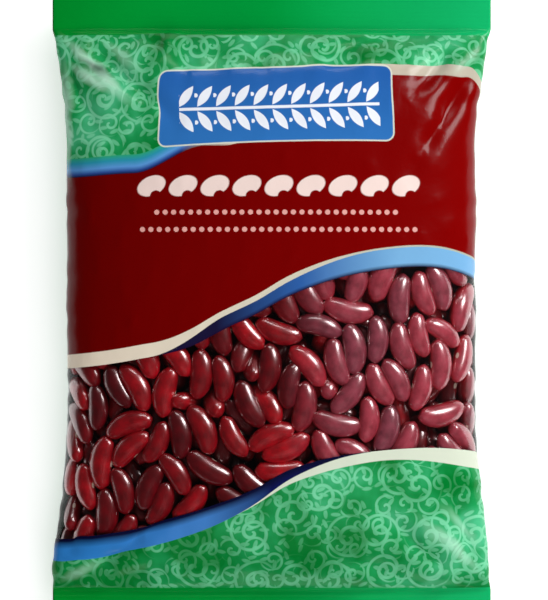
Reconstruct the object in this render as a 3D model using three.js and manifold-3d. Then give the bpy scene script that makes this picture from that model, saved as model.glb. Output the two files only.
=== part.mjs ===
// A pillow bag of dried red kidney beans, lying on its back with its front up.
// Millimetres, +Z up, +Y towards the top seal, the origin on the floor under the middle of the bag.
//
// The film is a tube, closed by a fin seal down its back and pressed flat in a seal at each end. It is
// full and shut, so bag and contents are one solid: two sheets of film that swell from the seals, with
// tucks at the four corners and, in the clear band between two waves of print, the beans that press
// against the film from inside.

import * as THREE from "three";
import { mergeVertices } from "three/addons/utils/BufferGeometryUtils.js";
import Module from "manifold-3d";

// Film and seals
const FLAT_WIDTH = 150; // the tube pressed flat, as it is at the end seals
const BAG_LENGTH = 216; // from cut edge to cut edge
const SEAL_DEPTH = 12; // each end seal, along the bag
const SEAL_THICKNESS = 0.8; // the two layers, drawn thicker than real film
const SEAL_HEIGHT = 13; // of the end seals over the floor
const SEAL_WAVE = 0.9; // how far an end seal ripples up and down
const SEAL_WAVE_PITCH = 68;
const TOOTH_PITCH = 3; // the zigzag of the cut edges
const TOOTH_DEPTH = 1.2;
const FIN_WIDTH = 11; // the fin seal, folded flat on the back
const FIN_THICKNESS = 0.6;

// Filled body
const BODY_WIDTH = 139.4; // across the filled part
const FRONT_RISE = 21; // of the front over the side folds, at the middle
const BACK_DROP = 15; // of the back under the side folds, before the floor flattens it
const EDGE_LIFT = 1.4; // the side folds stand this much over the end seals at mid length
const TOP_NECK = 38; // the length over which the body widens to the top seal
const BOTTOM_NECK = 64;
const TOP_NECK_CURVE = 2;
const BOTTOM_NECK_CURVE = 1.5;
const SWELL_SHAPE = 3.2; // how late along the bag the swelling falls off
const SWELL_ROUNDING = 0.62;
const SHOULDER = 0.82; // under 1, the section is fuller than an ellipse at its sides

// Tucks, the creases that fan out from each corner of the body
const TUCKS_PER_CORNER = 3;
const TUCK_LENGTH = 50;
const TUCK_DEPTH = 2.4;
const TUCK_WIDTH = 3.4;
const FIRST_TUCK_ANGLE = 20; // degrees from the seal line
const TUCK_SPREAD = 22;
const TUCK_ONSET = 0.7; // under 1, a tuck is deepest towards its corner
const TUCK_STEP = 6; // between the starts of neighbouring tucks
const TUCK_WOBBLE = 6; // most degrees that a tuck turns from its even place
const TUCK_LENGTH_LOSS = 0.5; // the share of its length that the shortest tuck lacks
const TUCK_FADE = 1 / 3; // tucks fade out where the film bulges less than this share
const BACK_TUCK_SHARE = 0.5; // how deep the tucks are on the back, against the front

// The clear band lies between two waves of the print, each high at the right
const WAVE_RISE = 33; // from the low end to the high end
const WAVE_CENTRE = -7; // the place across the bag where a wave is half up
const WAVE_REACH = 56; // from there to its low and its high end
const UPPER_WAVE_MIDDLE = -2.8;
const LOWER_WAVE_MIDDLE = -62.4;

// Beans
const BEAN_LENGTH = 17.2;
const BEAN_WIDTH = 7.9;
const BEAN_THICKNESS = 6.5;
const SMALLEST_BEAN = 0.9; // against those sizes
const BEAN_SIZE_SPREAD = 0.2;
const BEAN_BEND = 1.5; // how far a bean's ends stand off a straight line
const BEND_BALANCE = 1 / 3; // keeps the bent bean about its middle
const BEAN_SHOWING = 1.9; // how far a bean stands out of the film round it
const BEAN_ROW = 12.9; // spacing of the beans along and across the bag
const BEAN_COLUMN = 8.5;
const BEAN_LEAN = 34; // most degrees that a bean leans from the bag's length
const BEAN_JITTER = 1.6;
const BEAN_MARGIN = 2.5; // from a bean's middle to the edge of the print
const SEED = 7;

// How finely the surfaces are faceted
const COLUMNS = 26;
const BODY_ROWS = 40;
const SEAL_ROWS = 1;
const EVEN_SPACING = 0.7; // the share of even spacing in the rows, the rest crowds to the seals
const BEAN_SIDES = 8;
const BEAN_RINGS = 5;
const STEP_ACROSS = 0.02; // the small steps along the film that give its direction at a bean
const STEP_ALONG = 1;
const WASTE_MARGIN = 4; // the cut-off plates reach this far past the film

const HALF_LENGTH = BAG_LENGTH / 2;
const SEAL_LINE = HALF_LENGTH - SEAL_DEPTH;
const ROWS = BODY_ROWS + 2 * SEAL_ROWS;
const GOLDEN_TURN = 0.618034; // steps a hash evenly

const wasm = await Module();
wasm.setup();

// A closed geometry as a solid that can be joined and cut.
function solidOf(geometry) {
  const bare = geometry.clone();
  bare.deleteAttribute("normal");
  bare.deleteAttribute("uv");
  const merged = mergeVertices(bare, 1e-4);
  return new wasm.Manifold(
    new wasm.Mesh({
      numProp: 3,
      vertProperties: merged.getAttribute("position").array,
      triVerts: new Uint32Array(merged.index.array),
    }),
  );
}

// The solid as a geometry again.
function geometryOf(solid) {
  const mesh = solid.getMesh();
  const geometry = new THREE.BufferGeometry();
  geometry.setAttribute("position", new THREE.BufferAttribute(mesh.vertProperties, 3));
  geometry.setIndex(new THREE.BufferAttribute(mesh.triVerts, 1));
  geometry.computeVertexNormals();
  return geometry;
}

// Seeded random numbers from 0 to 1.
function randomNumbers(seed) {
  let state = seed;
  return () => {
    state = (state * 1664525 + 1013904223) % 4294967296;
    return state / 4294967296;
  };
}

// How far the bag has swollen at y: 0 from the seals outwards, 1 at mid length.
function swell(y) {
  const along = Math.min(Math.abs(y) / SEAL_LINE, 1);
  return (1 - along ** SWELL_SHAPE) ** SWELL_ROUNDING;
}

// Half the bag's width at y: narrow where it is filled, and the flat tube's at the seals.
function halfWidth(y) {
  const neck = y > 0 ? TOP_NECK : BOTTOM_NECK;
  const curve = y > 0 ? TOP_NECK_CURVE : BOTTOM_NECK_CURVE;
  const share = THREE.MathUtils.clamp((Math.abs(y) - SEAL_LINE + neck) / neck, 0, 1);
  return BODY_WIDTH / 2 + ((FLAT_WIDTH - BODY_WIDTH) / 2) * share ** curve;
}

// The height of the two side folds, and of the end seals, which ripple a little.
function foldHeight(x, y) {
  const ripple = SEAL_WAVE * Math.sin((2 * Math.PI * x) / SEAL_WAVE_PITCH + Math.sign(y));
  return SEAL_HEIGHT + EDGE_LIFT * swell(y) + ripple * (1 - swell(y));
}

// A fixed uneven number from -1 to 1, so that no two tucks are alike.
function uneven(tuck, side, end) {
  return Math.sin(9 * tuck + 4 * side + end);
}

// The tucks as straight grooves, each from its corner of the body inwards.
const tucks = [];
for (const right of [-1, 1]) {
  for (const top of [-1, 1]) {
    for (let i = 0; i < TUCKS_PER_CORNER; i++) {
      const degrees = FIRST_TUCK_ANGLE + TUCK_SPREAD * i;
      const angle = THREE.MathUtils.degToRad(degrees + TUCK_WOBBLE * uneven(i, right, top));
      const start = new THREE.Vector2(
        right * (halfWidth(top * SEAL_LINE) - TUCK_STEP * (TUCKS_PER_CORNER - i)),
        top * (SEAL_LINE - TUCK_STEP * i),
      );
      const towards = new THREE.Vector2(-right * Math.cos(angle), -top * Math.sin(angle));
      const loss = (TUCK_LENGTH_LOSS * (1 + uneven(i, top, right))) / 2;
      const length = TUCK_LENGTH * (1 - loss);
      tucks.push({ start, towards, length });
    }
  }
}

// How deep the tucks pull the film in at a place.
function tuckDepth(x, y) {
  let depth = 0;
  for (const { start, towards, length } of tucks) {
    const offset = new THREE.Vector2(x, y).sub(start);
    const along = offset.dot(towards) / length;
    if (along < 0 || along > 1) continue;
    const beside = offset.cross(towards) / TUCK_WIDTH;
    depth += TUCK_DEPTH * Math.sin(Math.PI * along ** TUCK_ONSET) * Math.exp(-beside * beside);
  }
  return depth;
}

// A point of the film. across runs from -1 to 1 between the side folds, y along the bag.
function filmPoint(across, y, isFront) {
  const turn = (across * Math.PI) / 2;
  const x = halfWidth(y) * Math.sin(turn);
  const bulge = swell(y) * Math.cos(turn) ** SHOULDER;
  const tuck = tuckDepth(x, y) * Math.min(1, bulge / TUCK_FADE);
  const fold = foldHeight(x, y);
  const height = isFront
    ? fold + SEAL_THICKNESS / 2 + FRONT_RISE * bulge - tuck
    : fold - SEAL_THICKNESS / 2 - BACK_DROP * bulge + BACK_TUCK_SHARE * tuck;
  return new THREE.Vector3(x, y, Math.max(height, 0));
}

// The place along the bag of a row of points, for row from 0 to ROWS.
function rowPlace(row) {
  const fromEnd = Math.min(row, ROWS - row);
  const side = row < ROWS / 2 ? -1 : 1;
  if (fromEnd < SEAL_ROWS) {
    return side * (HALF_LENGTH - (SEAL_DEPTH * fromEnd) / SEAL_ROWS);
  }
  const share = (2 * (row - SEAL_ROWS)) / BODY_ROWS - 1;
  const crowded = Math.sin((share * Math.PI) / 2);
  return SEAL_LINE * (EVEN_SPACING * share + (1 - EVEN_SPACING) * crowded);
}

// The bag without its beans: a box of many facets, its top and bottom moved out to the film.
function pillow() {
  const geometry = new THREE.BoxGeometry(2, ROWS, 2, COLUMNS, ROWS, 1);
  const places = geometry.getAttribute("position");
  for (let i = 0; i < places.count; i++) {
    const row = Math.round(places.getY(i) + ROWS / 2);
    const point = filmPoint(places.getX(i), rowPlace(row), places.getZ(i) > 0);
    places.setXYZ(i, point.x, point.y, point.z);
  }
  return solidOf(geometry);
}

// The fin seal: a strip that follows the back and is pressed flush where the bag rests.
function finSeal() {
  const geometry = new THREE.BoxGeometry(FIN_WIDTH, BODY_ROWS, 2, 1, BODY_ROWS, 1);
  const places = geometry.getAttribute("position");
  for (let i = 0; i < places.count; i++) {
    const x = places.getX(i) + FIN_WIDTH / 2;
    const y = rowPlace(Math.round(places.getY(i) + BODY_ROWS / 2) + SEAL_ROWS);
    const across = (2 / Math.PI) * Math.asin(x / halfWidth(y));
    const back = filmPoint(across, y, false).z;
    const height = places.getZ(i) > 0 ? back + FIN_THICKNESS : Math.max(back - FIN_THICKNESS, 0);
    places.setXYZ(i, x, y, height);
  }
  return solidOf(geometry);
}

// The waste outside a cut edge: a plate with a zigzag side.
function edgeWaste(side) {
  const teeth = FLAT_WIDTH / TOOTH_PITCH;
  const outline = new THREE.Shape();
  outline.moveTo(-FLAT_WIDTH / 2 - WASTE_MARGIN, HALF_LENGTH + WASTE_MARGIN);
  for (let i = 0; i <= 2 * teeth; i++) {
    const x = -FLAT_WIDTH / 2 + (i * TOOTH_PITCH) / 2;
    outline.lineTo(x, HALF_LENGTH - (i % 2 ? 0 : TOOTH_DEPTH));
  }
  outline.lineTo(FLAT_WIDTH / 2 + WASTE_MARGIN, HALF_LENGTH - TOOTH_DEPTH);
  outline.lineTo(FLAT_WIDTH / 2 + WASTE_MARGIN, HALF_LENGTH + WASTE_MARGIN);
  const plate = new THREE.ExtrudeGeometry(outline, { depth: 2 * SEAL_HEIGHT, bevelEnabled: false });
  return solidOf(side > 0 ? plate : plate.rotateZ(Math.PI));
}

// The place along the bag of a wave of the print at x, for the wave whose middle is given.
function wave(x, middle) {
  const share = THREE.MathUtils.clamp((x - WAVE_CENTRE) / WAVE_REACH, -1, 1);
  return middle + (WAVE_RISE / 2) * Math.sin((Math.PI / 2) * share);
}

// A kidney bean about the origin, its length along Y, its flat side to Z, bent towards +X.
function bean(size) {
  const geometry = new THREE.SphereGeometry(0.5, BEAN_SIDES, BEAN_RINGS);
  geometry.scale(BEAN_WIDTH * size, BEAN_LENGTH * size, BEAN_THICKNESS * size);
  const places = geometry.getAttribute("position");
  for (let i = 0; i < places.count; i++) {
    const along = (2 * places.getY(i)) / (BEAN_LENGTH * size);
    places.setX(i, places.getX(i) + BEAN_BEND * (along * along - BEND_BALANCE));
  }
  return geometry;
}

// The beans that press against the clear band, in loose rows, each lying along the film.
function showingBeans() {
  const random = randomNumbers(SEED);
  const jitter = () => BEAN_JITTER * (2 * random() - 1);
  const beans = [];
  const rows = Math.floor(BAG_LENGTH / BEAN_ROW);
  const columns = Math.floor(FLAT_WIDTH / BEAN_COLUMN);
  for (let row = 0; row <= rows; row++) {
    for (let column = 0; column <= columns; column++) {
      const stagger = ((column * GOLDEN_TURN) % 1) * BEAN_ROW;
      const x = (column - columns / 2) * BEAN_COLUMN + jitter();
      const y = (row - rows / 2) * BEAN_ROW + stagger + jitter();
      const lean = THREE.MathUtils.degToRad(BEAN_LEAN * (2 * random() - 1));
      const size = SMALLEST_BEAN + BEAN_SIZE_SPREAD * random();
      const isBent = random() < 0.5;
      const room = halfWidth(y) - BEAN_WIDTH / 2;
      const isInBand =
        y < wave(x, UPPER_WAVE_MIDDLE) - BEAN_MARGIN &&
        y > wave(x, LOWER_WAVE_MIDDLE) + BEAN_MARGIN;
      if (!isInBand || Math.abs(x) > room) continue;
      const across = (2 / Math.PI) * Math.asin(x / halfWidth(y));
      const here = filmPoint(across, y, true);
      const beside = filmPoint(across + STEP_ACROSS, y, true).sub(here);
      const ahead = filmPoint(across, y + STEP_ALONG, true).sub(here);
      const normal = beside.clone().cross(ahead).normalize();
      const length = ahead.normalize().applyAxisAngle(normal, lean);
      const width = length.clone().cross(normal);
      const sunk = (BEAN_THICKNESS * size) / 2 - BEAN_SHOWING;
      const geometry = bean(size);
      if (isBent) geometry.rotateZ(Math.PI);
      const turn = new THREE.Matrix4().makeBasis(width, length, normal);
      turn.setPosition(here.addScaledVector(normal, -sunk));
      beans.push(solidOf(geometry.applyMatrix4(turn)));
    }
  }
  return beans;
}

// The whole bag as one solid.
function bag() {
  let solid = pillow().add(finSeal());
  for (const side of [-1, 1]) {
    solid = solid.subtract(edgeWaste(side));
  }
  return wasm.Manifold.union([solid, ...showingBeans()]);
}

const film = new THREE.MeshStandardMaterial({ color: 0x8f1018, roughness: 0.28, metalness: 0 });
const bagMesh = new THREE.Mesh(geometryOf(bag()), film);
bagMesh.name = "bag_of_beans";

const group = new THREE.Group();
group.add(bagMesh);

export default group;
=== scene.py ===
"""A pillow bag of dried kidney beans, lying on its back: printed film with a clear band, and the beans in it.

Lengths are in millimetres until a mesh is written, and Blender gets metres.
"""
import functools
import math

import bpy
import numpy as np
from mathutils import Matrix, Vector
from mathutils.bvhtree import BVHTree


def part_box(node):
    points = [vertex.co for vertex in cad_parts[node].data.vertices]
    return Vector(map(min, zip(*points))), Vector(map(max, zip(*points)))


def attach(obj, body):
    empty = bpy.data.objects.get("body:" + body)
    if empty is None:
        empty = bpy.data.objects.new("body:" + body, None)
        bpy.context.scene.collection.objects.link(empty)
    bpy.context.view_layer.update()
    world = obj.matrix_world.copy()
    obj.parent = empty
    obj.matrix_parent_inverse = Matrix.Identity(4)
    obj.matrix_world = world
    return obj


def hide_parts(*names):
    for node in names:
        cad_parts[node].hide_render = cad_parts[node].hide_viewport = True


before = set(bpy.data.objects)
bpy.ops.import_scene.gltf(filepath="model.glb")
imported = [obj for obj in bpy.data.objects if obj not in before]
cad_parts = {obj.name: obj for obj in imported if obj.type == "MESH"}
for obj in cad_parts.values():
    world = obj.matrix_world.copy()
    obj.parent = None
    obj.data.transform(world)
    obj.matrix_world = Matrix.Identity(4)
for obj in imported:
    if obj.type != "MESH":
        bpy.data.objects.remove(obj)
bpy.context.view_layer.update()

BAG = "bag_of_beans"
MM = 0.001
SEED = 11

# The bag's outer form, which the film follows as the solid does
LOW_CORNER, HIGH_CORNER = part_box(BAG)
FLAT_WIDTH = (HIGH_CORNER.x - LOW_CORNER.x) / MM
HALF_LENGTH = (HIGH_CORNER.y - LOW_CORNER.y) / MM / 2
WEB_WIDTH = 2 * FLAT_WIDTH
SEAL_DEPTH = 12
SEAL_LINE = HALF_LENGTH - SEAL_DEPTH
SEAL_HEIGHT = 13
SEAL_WAVE = 0.9
SEAL_WAVE_PITCH = 68
TOOTH_PITCH = 3
TOOTH_DEPTH = 1.2
BODY_WIDTH = 139.4
FRONT_RISE = 21
BACK_DROP = 15
EDGE_LIFT = 1.4
TOP_NECK = 38
BOTTOM_NECK = 64
TOP_NECK_CURVE = 2
BOTTOM_NECK_CURVE = 1.5
SWELL_SHAPE = 3.2
SWELL_ROUNDING = 0.62
SHOULDER = 0.82
TUCKS_PER_CORNER = 3
TUCK_LENGTH = 50
TUCK_DEPTH = 2.4
TUCK_WIDTH = 3.4
FIRST_TUCK_ANGLE = 20
TUCK_SPREAD = 22
TUCK_ONSET = 0.7
TUCK_STEP = 6
TUCK_WOBBLE = 6
TUCK_LENGTH_LOSS = 0.5
TUCK_FADE = 1 / 3
BACK_TUCK_SHARE = 0.5

# The film itself
FILM_FLOOR = 0.3
FILM_CLEARANCE = 0.15
DENT_SHARE = 0.4
MERGE_DISTANCE = 0.02
DRAPE_STEPS = 600
DRAPE_SAG = 0.0014
LAYER_GAP = 0.25
RIB_PITCH = 1.6
RIB_HEIGHT = 0.06
FIN_WIDTH = 10
FIN_HEIGHT = 0.15
FIN_STEPS = 12
FIN_DROP = 0.35
FIN_WALL = 0.12

# Creases: start and end on the web, and strength. A valley is negative. The strength also sets how strongly a
# crest is painted with a pale highlight and a valley with painted shade
CREASES = (
    ((-74, 96), (-45, 67), 1),
    ((-67, 86.5), (-53, 77.5), -0.9),
    ((-71.5, 85.5), (-50, 71), 0.8),
    ((-71.5, 90), (-69.5, 40), 0.9),
    ((-60, 93), (-42, 79), 0.4),
    ((74, 92), (60, 78), 0.3),
    ((-73, -94), (-56, -84), 0.4),
    ((74, -92), (46, -68), 0.55),
    ((72, -82), (54, -64), 0.4),
)
CREASE_HEIGHT = 0.85
CREASE_WIDTH = 2.3
CREASE_WANDER = 3.5
# Width and strength of the painted highlights and painted shade along the creases
PAINTED_CREASE_WIDTH = 2.6
PAINTED_CREASE_SHARE = 0.9
GATHER_PITCH = 13
GATHER_HEIGHT = 0.35
GATHER_REACH = 7
BUCKLE_PITCH = 8
BUCKLE_HEIGHT = 0.22
BUCKLE_REACH = 13
BUCKLE_ONSET = 3
BUCKLE_DRIFT = 1.3
BUCKLE_DRIFT_PITCH = 23
CRIMP_PITCH = 12
CRIMP_HEIGHT = 0.4
CRIMP_REACH = 8
CRIMP_ONSET = 25
COLUMNS = 440
SEAL_ROWS = 24
LOW_ROWS = 40
WINDOW_ROWS = 66
HIGH_ROWS = 104
ROWS = 2 * SEAL_ROWS + LOW_ROWS + WINDOW_ROWS + HIGH_ROWS
SECTION_STEPS = 361

# The clear band's edges: place round the web from the front's middle, and place along the bag
UPPER_EDGE = (
    (-130, -16), (-100, -19), (-68, -19.8), (-46, -17), (-25, -11.6), (-15, -6.2), (-5, -1.3),
    (5, 4.4), (15, 8.6), (35, 13.5), (56, 14.2), (69, 11), (105, -1), (140, -11),
)
LOWER_EDGE = (
    (-135, -72), (-100, -77), (-68, -77.8), (-46, -73.9), (-25, -68), (-5, -60),
    (5, -54.2), (15, -50.8), (35, -47.5), (56, -46.7), (69, -48), (110, -57),
)
WINDOW_END = 75.4

# The printed fields
SEAL_PRINT_TOP = 93.8
SEAL_PRINT_BOTTOM = -94.9
PANEL_MIDDLE = (1.4, 69.6)
PANEL_HALF = (39, 12.4)
PANEL_CORNER = 2.5
PANEL_SLOPE = 0.03
PANEL_SAG = 0.0006
PANEL_RIM = 0.5
RED_RIGHT_END = 73
LABEL_MIDDLE = (117, 4)
LABEL_HALF = (19, 52)
LABEL_CORNER = 4
INK_SOFTNESS = 0.12
BETWEEN_WAVES = -32
FAR_OUTSIDE = -9

# Heights and widths that change round the web: the first value, then each change and where it starts and ends
BLUE_ABOVE = (0, (4.4, -40, -16), (2.3, -8, 36))
CREAM_ABOVE = (4.7, (-2.7, -42, -14), (-1.4, 0, 34))
BLUE_BELOW = (7.6, (-7.6, -30, 36))
CREAM_BELOW = (-0.15, (3.6, -16, 28), (2.4, 36, 70))
RED_TOP = (45, (1.2, -68, -45), (9.3, -46, -22), (24, -16, 26))
RED_CORNER = (66, 74)
RED_CORNER_DROP = 5
RED_RIM = (6.4, (-5.2, -34, -12), (2.3, 20, 34))

# The printed rows: middle, pitch and half length of each, and its height along the bag
KIDNEY_ROW = (2.4, 10.5, 47.2)
KIDNEY_ROW_HEIGHT = 41.9
KIDNEY_HALF = (4.9, 3.2)
KIDNEY_TURN = -24
NOTCH_BELOW = 3.8
NOTCH_RADIUS = 1.8
BEAD_ROWS = (((1.5, 2.8, 40.6), 33), ((2.4, 2.8, 46.2), 27.2))
BEAD_RADIUS = 0.85
GARLAND = (2.6, 6.3, 33.6)
GARLAND_HEIGHT = 68.6
LEAF_LENGTH = 4.3
LEAF_WIDTH = 1.5
LEAF_TURN = -54
LEAF_START = (0.2, 4.3)
STEM_HALF = 0.5
BERRY_PLACE = (-2.75, 4.6)
BERRY_RADIUS = 0.7
LARGE_SCROLL = 16
SMALL_SCROLL = 8.5
LEAFLET_PITCH = 4.2
PRINT_EDGE = 0.1

# How fine the finishes' patterns are, as repeats in a millimetre
GREEN_PATCHES = 0.045
CREASE_SWAY = 0.13
BROAD_RIPPLES = 0.11
FINE_RIPPLES = 0.55
SKIN_STREAKS = 0.35
SKIN_GRAIN = 1.4

# The beans
BEAN_COUNT = 880
BEAN_LENGTH = 17.2
BEAN_WIDTH = 7.9
BEAN_THICKNESS = 6.5
BEAN_BEND = 72
BEAN_PLUMPNESS = 0.14
BEAN_TIP = 5.2
BEAN_SAG = 0.5
TIP_WIDTH = 0.84
TIP_THICKNESS = 0.9
SIZE_SPREAD = 0.05
LEAN_MEAN = 12
LEAN_SPREAD = 27
SHARE_ACROSS = 0.1
TILT_SPREAD = 10
ROLL_SPREAD = 0.45
FIRST_GAP = 8
FIRST_HEADROOM = 2
LEAST_REACH = 0.8
PROBE = 0.1
NEAR_SHARE = 1.1
PUSH_SHARE = 0.3
WALL_SHARE = 0.8
WALL_PUSH_LIMIT = 3
FLOOR_SHARE = 0.6
WALL_TURN = 0.2
WALL_TURN_DEPTH = 4
WALL_ROLL = 0.5
FILM_PRESS = 0.14
FILM_PRESS_DEPTH = 4
FLOOR_GAP = 0.5
STICKS_OUT = 1.2
SEAL_GAP = 3
# Depth under the film, in millimetres, at which the beans' painted shade is full
DARK_DEPTH = 7
SHOWN_DEPTH = 9
SHOWN_UNDER_SEAL = 4
SHOWN_TOP = 30
SHOWN_BOTTOM = -92
FINE_BEAN = (16, 12)
PLAIN_BEAN = (9, 7)
RAY_START = 3
RAY_REACH = 14
START_SIZE = 0.5
GROW_STEPS = 170
PACK_STEPS = 360
PAIR_STEPS = 5
SIZE_LIMITS = (0.88, 1.1)


def swell(y):
    """How full the bag is at a place along it, 1 in the middle and 0 at the seals."""
    return (1 - np.minimum(np.abs(y) / SEAL_LINE, 1) ** SWELL_SHAPE) ** SWELL_ROUNDING


def half_width(y):
    """Half of the filled bag's width, which grows to the flat width at the seals."""
    neck = np.where(y > 0, TOP_NECK, BOTTOM_NECK)
    curve = np.where(y > 0, TOP_NECK_CURVE, BOTTOM_NECK_CURVE)
    rest = np.clip((np.abs(y) - SEAL_LINE + neck) / neck, 0, 1)
    return BODY_WIDTH / 2 + (FLAT_WIDTH - BODY_WIDTH) / 2 * rest**curve


def fold_height(x, y):
    """The height of the line where front and back meet, with the seals' slow wave."""
    wave = SEAL_WAVE * np.sin(2 * math.pi * x / SEAL_WAVE_PITCH + np.sign(y))
    return SEAL_HEIGHT + EDGE_LIFT * swell(y) + wave * (1 - swell(y))


def tucks():
    """Start, direction and length of the creases that run from the corners into the body."""
    for right in (-1, 1):
        for top in (-1, 1):
            for i in range(TUCKS_PER_CORNER):
                wobble = math.sin(9 * i + 4 * right + top)
                angle = math.radians(FIRST_TUCK_ANGLE + TUCK_SPREAD * i + TUCK_WOBBLE * wobble)
                edge = float(half_width(np.array(top * SEAL_LINE)))
                from_side = edge - TUCK_STEP * (TUCKS_PER_CORNER - i)
                start = (right * from_side, top * (SEAL_LINE - TUCK_STEP * i))
                towards = (-right * math.cos(angle), -top * math.sin(angle))
                loss = TUCK_LENGTH_LOSS * (1 + math.sin(9 * i + 4 * top + right)) / 2
                yield start, towards, TUCK_LENGTH * (1 - loss)


def tuck_depth(x, y):
    """How deep the corner creases are at a place."""
    depth = np.zeros(np.broadcast(x, y).shape)
    for start, towards, length in tucks():
        across, up = x - start[0], y - start[1]
        along = np.clip((across * towards[0] + up * towards[1]) / length, 0, 1)
        beside = across * towards[1] - up * towards[0]
        depth += TUCK_DEPTH * np.sin(math.pi * along**TUCK_ONSET) * np.exp(-((beside / TUCK_WIDTH) ** 2))
    return depth


def section(y, is_front):
    """One face's cross-section at a place along the bag: place on the web, x and height."""
    turn = np.linspace(-math.pi / 2, math.pi / 2, SECTION_STEPS)
    x = half_width(y) * np.sin(turn)
    bulge = swell(y) * np.clip(np.cos(turn), 0, 1) ** SHOULDER
    fold = fold_height(x, y)
    tuck = tuck_depth(x, y) * np.minimum(1, bulge / TUCK_FADE)
    if is_front:
        z = fold + LAYER_GAP + FRONT_RISE * bulge - tuck
    else:
        z = np.maximum(0, fold - LAYER_GAP - BACK_DROP * bulge + BACK_TUCK_SHARE * tuck)
    arc = np.concatenate(([0], np.cumsum(np.hypot(np.diff(x), np.diff(z)))))
    return arc / arc[-1] * FLAT_WIDTH - FLAT_WIDTH / 2, x, z


def round_the_web(points, places):
    """A smooth closed curve through points given by their place round the web."""
    at, height = np.array(points, float).T
    at = np.concatenate((at - WEB_WIDTH, at, at + WEB_WIDTH))
    height = np.tile(height, 3)
    slope = np.gradient(height, at)
    knot = np.clip(np.searchsorted(at, places) - 1, 0, len(at) - 2)
    step = at[knot + 1] - at[knot]
    f = (places - at[knot]) / step
    return (
        height[knot] * (1 + 2 * f) * (1 - f) ** 2
        + slope[knot] * step * f * (1 - f) ** 2
        + height[knot + 1] * f**2 * (3 - 2 * f)
        + slope[knot + 1] * step * f**2 * (f - 1)
    )


def web_places():
    """Place round and along the web of every point of the film, as rows by columns."""
    around = np.linspace(-WEB_WIDTH / 2, WEB_WIDTH / 2, COLUMNS + 1)
    tooth = np.abs((around / TOOTH_PITCH + 0.5) % 1 - 0.5) * 2 * TOOTH_DEPTH
    low = round_the_web(LOWER_EDGE, around)
    high = round_the_web(UPPER_EDGE, around)
    seal = np.full_like(low, SEAL_LINE)
    knots = np.stack([-HALF_LENGTH + tooth, -seal, low, high, seal, HALF_LENGTH - tooth])
    counts = (SEAL_ROWS, LOW_ROWS, WINDOW_ROWS, HIGH_ROWS, SEAL_ROWS)
    rows = [knots[0]]
    for stretch, count in enumerate(counts):
        for step in range(1, count + 1):
            rows.append(knots[stretch] + (knots[stretch + 1] - knots[stretch]) * step / count)
    return np.broadcast_to(around, (ROWS + 1, COLUMNS + 1)).copy(), np.array(rows)


def smooth_film(around, along):
    """Where the film lies if nothing dents it: the bag's form, with the web wrapped round it."""
    stations = np.linspace(-HALF_LENGTH, HALF_LENGTH, 2 * int(HALF_LENGTH) + 1)
    columns = around[0]
    on_front = np.abs(columns) <= FLAT_WIDTH / 2
    mirrored = np.sign(columns) * (FLAT_WIDTH - np.abs(columns))
    x_table, z_table = np.zeros((2, len(stations), len(columns)))
    for row, y in enumerate(stations):
        for is_front, chosen, places in ((True, on_front, columns), (False, ~on_front, mirrored)):
            place, x, z = section(y, is_front)
            x_table[row, chosen] = np.interp(places[chosen], place, x)
            z_table[row, chosen] = np.interp(places[chosen], place, z)
    x, z = np.zeros((2, *along.shape))
    for column in range(along.shape[1]):
        x[:, column] = np.interp(along[:, column], stations, x_table[:, column])
        z[:, column] = np.interp(along[:, column], stations, z_table[:, column])
    return np.stack([x, along, z], -1)


def uneven(place, pitch):
    """An irregular wave of about the given pitch."""
    turns = 2 * math.pi * place / pitch
    wave = np.sin(turns) + 0.7 * np.sin(turns / 0.62 + 1.7) + 0.5 * np.sin(turns / 1.7 + 0.6)
    return wave * (0.6 + 0.4 * np.sin(turns / 2.9 + 1)) / 2


def creases(around, along):
    """How far the creases near the corners lift the film, the same on the front and the back."""
    is_front = np.abs(around) <= FLAT_WIDTH / 2
    across = np.where(is_front, around, np.sign(around) * (FLAT_WIDTH - np.abs(around)))
    lift = np.zeros_like(along)
    for start, end, strength in CREASES:
        way = np.subtract(end, start)
        length = np.hypot(*way)
        right, up = across - start[0], along - start[1]
        f = np.clip((right * way[0] + up * way[1]) / length**2, 0, 1)
        beside = (right * way[1] - up * way[0]) / length
        lift += strength * np.sin(math.pi * f) * np.exp(-((beside / CREASE_WIDTH) ** 2))
    return CREASE_HEIGHT * lift


def wrinkles(around, along):
    """Gathers and buckles under the seals and crimps along the sides, where the web has length to spare."""
    inward = np.maximum(SEAL_LINE - np.abs(along), 0)
    gathers = uneven(around, GATHER_PITCH) * inward / GATHER_REACH * np.exp(1 - inward / GATHER_REACH)
    drift = BUCKLE_DRIFT * np.sin(around / BUCKLE_DRIFT_PITCH)
    buckles = np.cos(2 * math.pi * inward / BUCKLE_PITCH + drift) * np.exp(-inward / BUCKLE_REACH)
    buckles = buckles * np.clip(inward / BUCKLE_ONSET, 0, 1)
    from_side = np.abs(around) - FLAT_WIDTH / 2
    crimps = uneven(along, CRIMP_PITCH) * np.exp(-((from_side / CRIMP_REACH) ** 2))
    crimps = crimps * np.clip(inward / CRIMP_ONSET, 0, 1)
    return GATHER_HEIGHT * gathers + BUCKLE_HEIGHT * buckles + CRIMP_HEIGHT * crimps


def normals_of(points):
    """Outward normals of the rolled web."""
    round_step = np.roll(points[:, :-1], -1, 1) - np.roll(points[:, :-1], 1, 1)
    round_step = np.concatenate((round_step, round_step[:, :1]), 1)
    along_step = np.gradient(points, axis=0)
    return unit(np.cross(round_step, along_step))


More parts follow.
